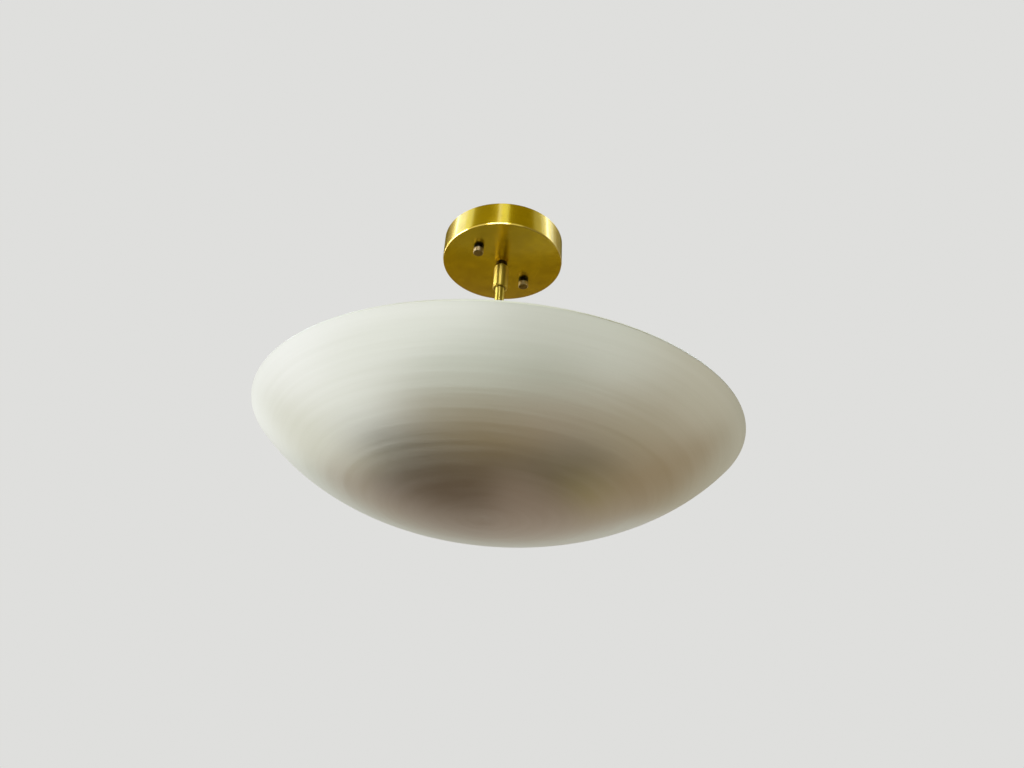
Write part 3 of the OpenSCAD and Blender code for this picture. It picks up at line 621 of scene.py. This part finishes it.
def flared(line):
    """The dish's profile with its last centimetre opened out, so that it runs into the bead without a crease:
    the radius grows by the opening times e to the minus (depth below the lip / fading)."""
    opening, fading = 1.15, 4.0
    return line + np.stack([opening * np.exp((line[:, 1] - rim_z) / fading), 0 * line[:, 1]], -1)


def inward(line):
    """The unit normal of a profile that runs outwards and up, pointing to its left, into the dish."""
    along = np.gradient(line, axis=0)
    along /= np.maximum(np.linalg.norm(along, axis=1, keepdims=True), 1e-9)
    return np.stack([-along[:, 1], along[:, 0]], -1)


def spinning_rings(line):
    """Height of the tool's rings on a profile: a few waves of the distance from the axis, 5 to 23 mm long and
    some hundredths of a millimetre high, which fade at the pole and at the lip. The follower's mark lies a
    tenth of a millimetre below them and ends in a soft step."""
    r, mark_r, mark_height, mark_edge = line[:, 0], 9.0, -0.10, 0.6
    waves = ((23.0, 0.018, 0.4), (13.7, 0.011, 1.9), (8.9, 0.008, 3.1), (5.3, 0.005, 5.0))
    height = sum(size * np.sin(2 * np.pi * r / length + start) for length, size, start in waves)
    mark = mark_height / (1 + np.exp((r - mark_r) / mark_edge))
    return height * np.clip(r / 30, 0, 1) * np.clip((rim_r - r) / 6, 0, 1) + mark


def floor_z(r):
    """Height of the dish's inner floor at a distance from the axis, from the same curve."""
    return rim_z - curve_h * np.cos(np.arcsin((r / rim_r) ** (1 / flatness))) ** leaning + dish_wall


# The wall's points run from the pole, where they are closest, to 85.4 degrees, where the bead takes over.
t = np.radians(np.concatenate([np.linspace(0, 1, 12) ** 2 * 4, np.linspace(4, 85.4, 168)[1:]]))
t[0] = 1e-7
outer = flared(dish_curve(t))
normal = inward(outer)
normal[0] = (0, 1)
outer_face = outer - normal * spinning_rings(outer)[:, None]
outer_face[0, 0] = 0
every_other = np.unique(np.r_[0:len(t):2, len(t) - 1])
inner_face = (outer + normal * (dish_wall + 0.5 * spinning_rings(outer)[:, None]))[every_other][::-1]
inner_face[-1, 0] = 0
bead_angle = np.radians(np.linspace(-36, 222, 22))
bead = np.stack([bead_mid + bead_r * np.cos(bead_angle), rim_z + bead_r * np.sin(bead_angle)], -1)

satin, shader = bare("satin_aluminium", 1.0)
place = place_on(satin)
wide = lathe_lines(satin, place, 130.0, 0.8)
thin = lathe_lines(satin, place, 900.0, 2.5)
surface(satin, shader, between(satin, wide, (0.83, 0.83, 0.79), (0.88, 0.88, 0.85)),
        spread(satin, mean(satin, wide, noise(satin, place, 14.0, 4.0)), 0.34, 0.42))
coarse = add(satin, "ShaderNodeBump", {"Height": wide, "Strength": 0.16, "Distance": 0.0006})
fine = add(satin, "ShaderNodeBump", {"Height": thin, "Strength": 0.12, "Distance": 0.0002,
                                     "Normal": coarse.outputs["Normal"]})
satin.node_tree.links.new(fine.outputs["Normal"], shader.inputs["Normal"])
# The bead's top: paler and duller than the dish, a painted highlight along the rim.
pale_lip_highlight, shader = bare("pale_lip_highlight", 0.3, Roughness=0.6)
lip_highlight_tone = noise(pale_lip_highlight, place_on(pale_lip_highlight), 60.0, 3.0)
pale_lip_highlight.node_tree.links.new(between(pale_lip_highlight, lip_highlight_tone, (0.91, 0.92, 0.88), (0.97, 0.97, 0.95)),
                             shader.inputs["Base Color"])
unfinished, shader = bare("as_spun_inside", 1.0)
place = place_on(unfinished)
tool = lathe_lines(unfinished, place, 260.0, 1.2)
film = mean(unfinished, tool, noise(unfinished, place, 18.0, 5.0))
surface(unfinished, shader, between(unfinished, film, (0.56, 0.525, 0.46), (0.68, 0.645, 0.57)),
        spread(unfinished, tool, 0.36, 0.46), tool, 0.10, 0.0004)
dish = skin("spun_dish", [carried([outer_face, bead, inner_face], 256)], satin, 60)


def on_lip(middles, normals):
    """Whether a face lies on the upper half of the bead: above the bead's middle, and no farther from it, in
    the plane of (distance from the axis, height), than a little more than the bead's radius."""
    lowest, reach = 0.1, 1.6
    away, height = np.hypot(middles[:, 0], middles[:, 1]) - bead_mid, middles[:, 2] - rim_z
    return (height > lowest) & (np.hypot(away, height) < reach)


faces_in(dish, pale_lip_highlight, on_lip)
faces_in(dish, unfinished, lambda p, n: (n[:, 2] > 0) & ~on_lip(p, n))
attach(dish, "pendant")
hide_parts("dish")


# Dish fixing: three threaded studs are welded to the dish's floor. A turned flange drops over them and is
# held by three small nuts, and a threaded nipple in its boss is locked to the cluster above by two larger
# nuts.
flange_r, flange_low, flange_t, boss_r, boss_h = 22.0, float(floor_z(22.0)) + 0.05, 2.5, 9.0, 8.0
flange_top = flange_low + flange_t
boss_top = flange_top + boss_h
flange = skin("turned_flange", [carried([rounded([
    (pipe_nut_bore, flange_low, 0.2), (flange_r, flange_low, 0.3), (flange_r, flange_top, 0.5),
    (boss_r, flange_top, 0.8), (boss_r, boss_top, 0.5), (pipe_nut_bore, boss_top, 0.3)])])], zinc)
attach(flange, "pendant")
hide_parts("dish_flange")
nipple = skin("dish_side_nipple", [pipe_nipple(flange_low + 1.0, -264.0)], plain_brass)
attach(nipple, "pendant")
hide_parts("dish_nipple")
large = skin("nipple_hexagon_nuts", [nut(pipe_nut_width, pipe_nut_bore, low, low + 3)
                                     for low in (-272.5, boss_top)], zinc)
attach(large, "pendant")
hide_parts("nipple_nuts")
weld_at, weld_r, weld_turns = 16.0, 2.0, np.radians((150, 270, 390))
weld_low, weld_high = float(floor_z(weld_at)) - 0.4, flange_top + 5
weld_stud = carried([
    [(0, weld_low), (weld_r, weld_low), (weld_r, weld_low + 0.9)],
    screw_thread(weld_r, 0.33, 0.7, weld_low + 0.9, weld_high - 0.4, 24, 6),
    [(weld_r, weld_high - 0.4), (weld_r - 0.4, weld_high), (0, weld_high)]], 24)
small_nut = nut(7.0, 2.05, flange_top, flange_top + 3.2, 48)
weld_studs = skin("weld_studs", [moved(weld_stud, weld_at * np.cos(a), weld_at * np.sin(a))
                                 for a in weld_turns], zinc)
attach(weld_studs, "pendant")
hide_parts("dish_studs")
small_nuts = skin("flange_hexagon_nuts", [turned_by(moved(small_nut, weld_at), a) for a in weld_turns], zinc)
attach(small_nuts, "pendant")
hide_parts("flange_nuts")


# Camera: it stands below and beside the light and looks up at it, rolled a little, with the lens and the
# shift that put the canopy and the dish where the photograph has them. The view axes are built from
# elevation, pitch, yaw and roll, and turned to the light's own frame.
far, rise, pitch, yaw, roll = 0.7878, *np.radians([40.93, 33.92, -5.95, 7.40])
view_turn = np.radians(-45.95)
ahead = np.array([np.sin(yaw) * np.cos(pitch), np.cos(yaw) * np.cos(pitch), np.sin(pitch)])
level = np.array([np.cos(yaw), -np.sin(yaw), 0])
upright = np.cross(level, ahead)
right = np.cos(roll) * level + np.sin(roll) * upright
up = -np.sin(roll) * level + np.cos(roll) * upright
eye = turned_by(np.array([0, -far * np.cos(rise), -far * np.sin(rise)]), view_turn)
lens = bpy.data.cameras.new("view")
film_width, focal_pixels, picture_pixels = 36.0, 711.4, 1024
lens.sensor_width, lens.lens = film_width, focal_pixels / picture_pixels * film_width
lens.shift_x, lens.shift_y = 0.0745, -0.0569
lens.clip_start, lens.clip_end = 0.01, 50.0
camera = bpy.data.objects.new("view", lens)
standpoint = np.eye(4)
standpoint[:3, :3] = turned_by(np.stack([right, up, -ahead]), view_turn).T
standpoint[:3, 3] = eye
camera.matrix_world = Matrix(standpoint)
bpy.context.scene.collection.objects.link(camera)
bpy.context.scene.camera = camera


# Studio: a pale world and a pale floor well below the light. Cards stand round it on a sphere: soft strips
# near the ceiling, a white wall on the left, dark boards low down. Nearer are two boards under the dish, a
# flag round the rod and two lamps beside the canopy. Only gloss sees the cards.
def card(name, west, east, low, high, colour, distance=2.0):
    """A piece of a sphere round the light that glows evenly in one colour. West and east are directions as
    the camera has them, with 90 degrees straight ahead and 180 on the left. Low and high are angles of
    height."""
    turn = np.radians(np.linspace(west, east, max(2, int(np.ceil((east - west) / 6)) + 1)))[None] + view_turn
    lift = np.radians(np.linspace(low, high, max(2, int(np.ceil((high - low) / 6)) + 1)))[:, None]
    spots = distance * np.stack([np.cos(lift) * np.cos(turn), np.cos(lift) * np.sin(turn),
                                 np.sin(lift) + 0 * turn], -1)
    rows, columns = spots.shape[:2]
    first = np.arange(rows * columns).reshape(rows, columns)
    faces = np.stack([first[:-1, :-1], first[:-1, 1:], first[1:, 1:], first[1:, :-1]], -1).reshape(-1, 4)
    mesh = bpy.data.meshes.new(name)
    mesh.from_pydata(spots.reshape(-1, 3).tolist(), [], faces.tolist())
    material, shader = bare(name, 0.0, Roughness=1.0, Emission_Strength=1.0)
    shader.inputs["Specular IOR Level"].default_value = 0.0
    shader.inputs["Base Color"].default_value = (0, 0, 0, 1)
    shader.inputs["Emission Color"].default_value = (*colour, 1)
    mesh.materials.append(material)
    panel = bpy.data.objects.new(name, mesh)
    bpy.context.scene.collection.objects.link(panel)
    panel.visible_camera = panel.visible_diffuse = panel.visible_shadow = False


world = bpy.data.worlds.new("pale_world")
world.use_nodes = True
world.node_tree.nodes["Background"].inputs["Color"].default_value = (0.737, 0.737, 0.722, 1)
bpy.context.scene.world = world
floor_half, floor_height = 60.0, -2.1
corners = [(x * floor_half, y * floor_half, floor_height) for x, y in ((-1, -1), (1, -1), (1, 1), (-1, 1))]
ground = bpy.data.meshes.new("floor")
ground.from_pydata(corners, [], [(0, 1, 2, 3)])
ground.materials.append(bare("floor_paint", 0.0, Roughness=0.8, Base_Color=(0.93, 0.93, 0.91, 1))[0])
floor = bpy.data.objects.new("floor", ground)
bpy.context.scene.collection.objects.link(floor)
for name, west, east, low, high, colour in (
        ("board_below_far", 60, 166, -90, -64, (0.20, 0.12, 0.02)),
        ("board_below_right", 0, 60, -90, -64, (0.35, 0.27, 0.19)),
        ("floor_near_left", 166, 300, -90, -64, (0.58, 0.61, 0.53)),
        ("floor_near_right", 300, 360, -90, -64, (0.40, 0.42, 0.34)),
        ("board_far", 42, 140, -64, -46, (0.02, 0.01, 0.0)),
        ("floor_left", 140, 270, -64, -40, (0.90, 0.92, 0.86)),
        ("floor_camera", 270, 360, -64, -40, (0.64, 0.65, 0.58)),
        ("floor_right", 0, 42, -64, -40, (0.35, 0.29, 0.19)),
        ("far_low", 60, 124, -46, -34, (0.27, 0.215, 0.03)),
        ("far_low_right", 30, 60, -46, -16, (0.27, 0.19, 0.10)),
        ("far_floor", 60, 124, -34, -16, (0.34, 0.26, 0.20)),
        ("far_left", 124, 150, -40, -14, (0.76, 0.76, 0.65)),
        ("wall_left_low", 150, 262, -40, -14, (1.05, 1.06, 1.05)),
        ("wall_camera_low", 262, 335, -40, -14, (0.65, 0.68, 0.58)),
        ("wall_right_low", -25, 30, -40, -14, (0.52, 0.49, 0.39)),
        ("far_wall", 66, 124, -16, -2, (0.64, 0.69, 0.63)),
        ("wall_far_right", 30, 66, -16, 22, (0.45, 0.43, 0.34)),
        ("wall_left", 124, 240, -14, 16, (1.00, 1.02, 0.99)),
        ("wall_camera", 240, 300, -14, 16, (0.90, 0.95, 0.83)),
        ("wall_right", -60, 30, -14, 20, (0.32, 0.31, 0.24)),
        ("ceiling_far", 58, 118, 34, 64, (0.12, 0.10, 0.0)),
        ("ceiling_far_left", 118, 134, 26, 64, (0.17, 0.13, 0.03)),
        ("ceiling_left_edge", 134, 152, 22, 64, (0.38, 0.33, 0.14)),
        ("strip_left_edge", 152, 162, 20, 64, (0.85, 0.88, 0.70)),
        ("core_left", 162, 167, 20, 64, (4.4, 4.6, 5.0)),
        ("strip_left", 167, 190, 20, 64, (1.34, 1.56, 1.80)),
        ("strip_left_end", 190, 206, 20, 64, (1.18, 1.32, 0.80)),
        ("ceiling_left", 206, 246, 20, 64, (0.33, 0.29, 0.01)),
        ("strip_camera_edge", 246, 257, 20, 64, (0.42, 0.38, 0.04)),
        ("core_camera", 257, 263, 20, 64, (1.35, 1.50, 1.50)),
        ("strip_camera", 263, 277, 20, 64, (1.16, 1.30, 0.62)),
        ("ceiling_camera", 277, 328, 20, 64, (0.28, 0.24, 0.0)),
        ("strip_right_edge", -32, -14, 20, 64, (0.55, 0.56, 0.26)),
        ("strip_right", -14, -1, 20, 64, (0.88, 1.00, 1.00)),
        ("core_right", -1, 4, 20, 64, (4.2, 4.5, 5.6)),
        ("strip_right_far", 4, 20, 20, 64, (1.20, 1.38, 1.60)),
        ("strip_right_end", 20, 32, 22, 64, (0.52, 0.50, 0.34)),
        ("ceiling_right", 32, 58, 24, 64, (0.30, 0.26, 0.10)),
        ("ceiling", 0, 360, 64, 90, (0.24, 0.24, 0.24))):
    card(name, west, east, low, high, colour)
for name, west, east, low, high, colour, distance in (
        ("board_near_left", 86, 142, -84, -58, (0.05, 0.02, 0.0), 0.50),
        ("board_near_right", 52, 86, -80, -58, (0.20, 0.14, 0.10), 0.50),
        ("flag_near", 190, 345, -64, -30, (0.01, 0.008, 0.0), 0.115),
        ("lamp_left", 158, 214, -8, 3, (11, 11.5, 18), 0.195),
        ("lamp_camera", 246, 276, -8, 3, (8.5, 8.8, 13), 0.195)):
    card(name, west, east, low, high, colour, distance)

bpy.context.scene.view_settings.view_transform = "Standard"
